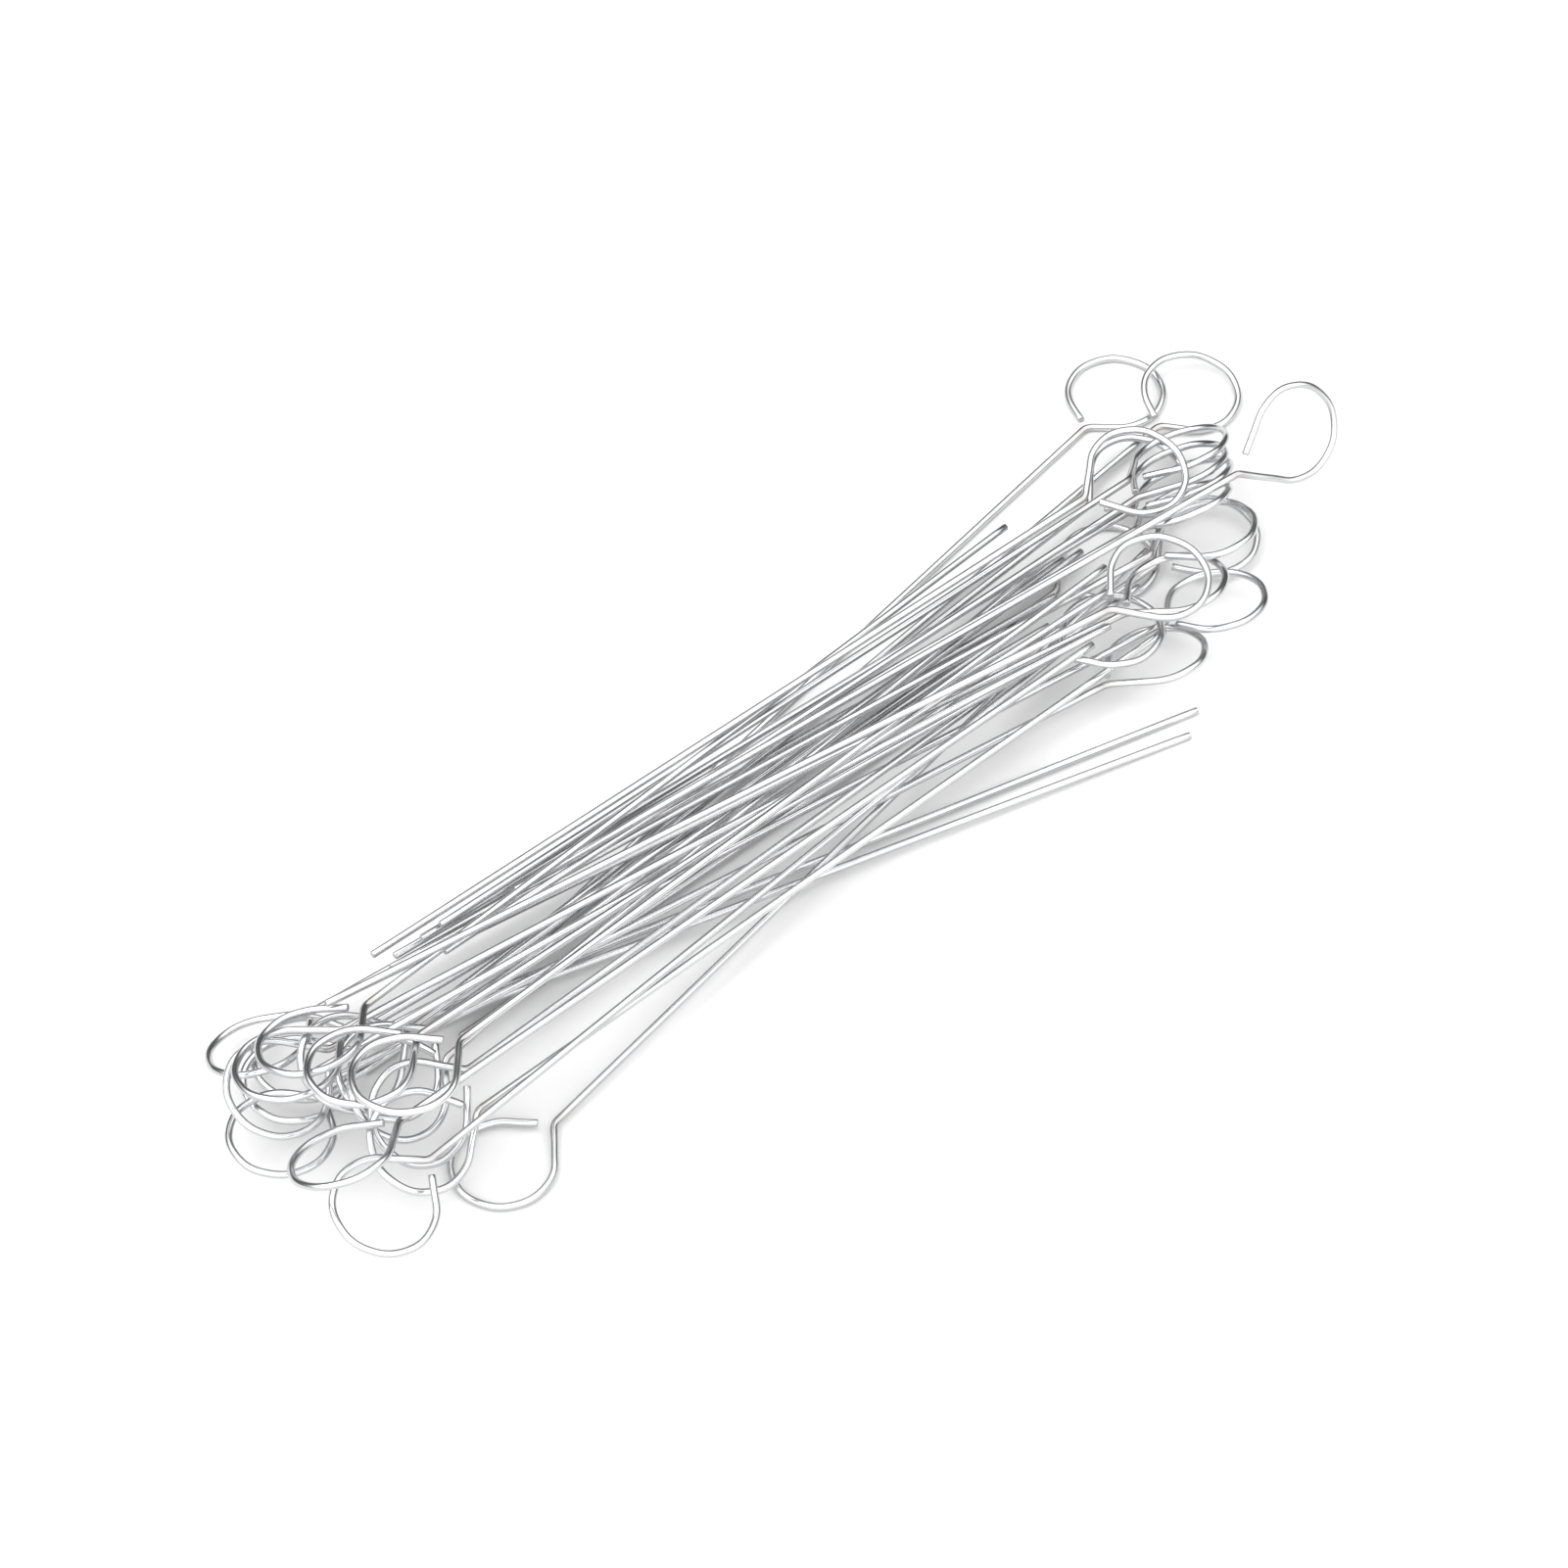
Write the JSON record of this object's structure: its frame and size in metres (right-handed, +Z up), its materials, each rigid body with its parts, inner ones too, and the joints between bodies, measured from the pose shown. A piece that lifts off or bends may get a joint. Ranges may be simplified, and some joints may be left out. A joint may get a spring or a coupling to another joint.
{
  "type": "loose heap of looped wire needles",
  "caption": "Loose heap of straight steel wire needles, each cut square at the tail and bent into an open loop eye at the other end, lying crossed with eyes at both ends.",
  "frame": {"origin": "on the floor under the middle of the heap's bounding box", "axes": "+X along the heap, towards the end where the free needle's eye lies furthest out; +Z up"},
  "size_m": [0.2074, 0.0684, 0.0232],
  "materials": {
    "steel_wire": "polished"
  },
  "bodies": {
    "needle_01": {"needle_01": "steel_wire"},
    "needle_02": {"needle_02": "steel_wire"},
    "needle_03": {"needle_03": "steel_wire"},
    "needle_04": {"needle_04": "steel_wire"},
    "needle_05": {"needle_05": "steel_wire"},
    "needle_06": {"needle_06": "steel_wire"},
    "needle_07": {"needle_07": "steel_wire"},
    "needle_08": {"needle_08": "steel_wire"},
    "needle_09": {"needle_09": "steel_wire"},
    "needle_10": {"needle_10": "steel_wire"},
    "needle_11": {"needle_11": "steel_wire"},
    "needle_12": {"needle_12": "steel_wire"},
    "needle_13": {"needle_13": "steel_wire"},
    "needle_14": {"needle_14": "steel_wire"},
    "needle_15": {"needle_15": "steel_wire"},
    "needle_16": {"needle_16": "steel_wire"},
    "needle_17": {"needle_17": "steel_wire"},
    "needle_18": {"needle_18": "steel_wire"},
    "needle_19": {"needle_19": "steel_wire"},
    "needle_20": {"needle_20": "steel_wire"},
    "needle_21": {"needle_21": "steel_wire"},
    "needle_22": {"needle_22": "steel_wire"},
    "needle_23": {"needle_23": "steel_wire"},
    "needle_24": {"needle_24": "steel_wire"},
    "needle_25": {"needle_25": "steel_wire"},
    "needle_26": {"needle_26": "steel_wire"},
    "needle_27": {"needle_27": "steel_wire"},
    "needle_28": {"needle_28": "steel_wire"},
    "needle_29": {"needle_29": "steel_wire"},
    "needle_30": {"needle_30": "steel_wire"},
    "needle_31": {"needle_31": "steel_wire"},
    "needle_32": {"needle_32": "steel_wire"},
    "needle_33": {"needle_33": "steel_wire"},
    "needle_34": {"needle_34": "steel_wire"}
  },
  "joints": [
    {"name": "needle_02_lift", "type": "slide", "parent": "needle_01", "child": "needle_02", "axis": [0, 0, 1], "range_m": [0, 0.03]},
    {"name": "needle_03_lift", "type": "slide", "parent": "needle_02", "child": "needle_03", "axis": [0, 0, 1], "range_m": [0, 0.03]},
    {"name": "needle_04_lift", "type": "slide", "parent": "needle_03", "child": "needle_04", "axis": [0, 0, 1], "range_m": [0, 0.03]},
    {"name": "needle_05_lift", "type": "slide", "parent": "needle_04", "child": "needle_05", "axis": [0, 0, 1], "range_m": [0, 0.03]},
    {"name": "needle_06_lift", "type": "slide", "parent": "needle_05", "child": "needle_06", "axis": [0, 0, 1], "range_m": [0, 0.03]},
    {"name": "needle_07_lift", "type": "slide", "parent": "needle_06", "child": "needle_07", "axis": [0, 0, 1], "range_m": [0, 0.03]},
    {"name": "needle_08_lift", "type": "slide", "parent": "needle_07", "child": "needle_08", "axis": [0, 0, 1], "range_m": [0, 0.03]},
    {"name": "needle_09_lift", "type": "slide", "parent": "needle_08", "child": "needle_09", "axis": [0, 0, 1], "range_m": [0, 0.03]},
    {"name": "needle_10_lift", "type": "slide", "parent": "needle_09", "child": "needle_10", "axis": [0, 0, 1], "range_m": [0, 0.03]},
    {"name": "needle_11_lift", "type": "slide", "parent": "needle_10", "child": "needle_11", "axis": [0, 0, 1], "range_m": [0, 0.03]},
    {"name": "needle_12_lift", "type": "slide", "parent": "needle_11", "child": "needle_12", "axis": [0, 0, 1], "range_m": [0, 0.03]},
    {"name": "needle_13_lift", "type": "slide", "parent": "needle_12", "child": "needle_13", "axis": [0, 0, 1], "range_m": [0, 0.03]},
    {"name": "needle_14_lift", "type": "slide", "parent": "needle_13", "child": "needle_14", "axis": [0, 0, 1], "range_m": [0, 0.03]},
    {"name": "needle_15_lift", "type": "slide", "parent": "needle_14", "child": "needle_15", "axis": [0, 0, 1], "range_m": [0, 0.03]},
    {"name": "needle_16_lift", "type": "slide", "parent": "needle_15", "child": "needle_16", "axis": [0, 0, 1], "range_m": [0, 0.03]},
    {"name": "needle_17_lift", "type": "slide", "parent": "needle_16", "child": "needle_17", "axis": [0, 0, 1], "range_m": [0, 0.03]},
    {"name": "needle_18_lift", "type": "slide", "parent": "needle_17", "child": "needle_18", "axis": [0, 0, 1], "range_m": [0, 0.03]},
    {"name": "needle_19_lift", "type": "slide", "parent": "needle_18", "child": "needle_19", "axis": [0, 0, 1], "range_m": [0, 0.03]},
    {"name": "needle_20_lift", "type": "slide", "parent": "needle_19", "child": "needle_20", "axis": [0, 0, 1], "range_m": [0, 0.03]},
    {"name": "needle_21_lift", "type": "slide", "parent": "needle_20", "child": "needle_21", "axis": [0, 0, 1], "range_m": [0, 0.03]},
    {"name": "needle_22_lift", "type": "slide", "parent": "needle_21", "child": "needle_22", "axis": [0, 0, 1], "range_m": [0, 0.03]},
    {"name": "needle_23_lift", "type": "slide", "parent": "needle_22", "child": "needle_23", "axis": [0, 0, 1], "range_m": [0, 0.03]},
    {"name": "needle_24_lift", "type": "slide", "parent": "needle_23", "child": "needle_24", "axis": [0, 0, 1], "range_m": [0, 0.03]},
    {"name": "needle_25_lift", "type": "slide", "parent": "needle_24", "child": "needle_25", "axis": [0, 0, 1], "range_m": [0, 0.03]},
    {"name": "needle_26_lift", "type": "slide", "parent": "needle_25", "child": "needle_26", "axis": [0, 0, 1], "range_m": [0, 0.03]},
    {"name": "needle_27_lift", "type": "slide", "parent": "needle_26", "child": "needle_27", "axis": [0, 0, 1], "range_m": [0, 0.03]},
    {"name": "needle_28_lift", "type": "slide", "parent": "needle_27", "child": "needle_28", "axis": [0, 0, 1], "range_m": [0, 0.03]},
    {"name": "needle_29_lift", "type": "slide", "parent": "needle_28", "child": "needle_29", "axis": [0, 0, 1], "range_m": [0, 0.03]},
    {"name": "needle_30_lift", "type": "slide", "parent": "needle_29", "child": "needle_30", "axis": [0, 0, 1], "range_m": [0, 0.03]},
    {"name": "needle_31_lift", "type": "slide", "parent": "needle_30", "child": "needle_31", "axis": [0, 0, 1], "range_m": [0, 0.03]},
    {"name": "needle_32_lift", "type": "slide", "parent": "needle_31", "child": "needle_32", "axis": [0, 0, 1], "range_m": [0, 0.03]},
    {"name": "needle_33_lift", "type": "slide", "parent": "needle_32", "child": "needle_33", "axis": [0, 0, 1], "range_m": [0, 0.03]},
    {"name": "needle_34_lift", "type": "slide", "parent": "needle_33", "child": "needle_34", "axis": [0, 0, 1], "range_m": [0, 0.03]}
  ]
}
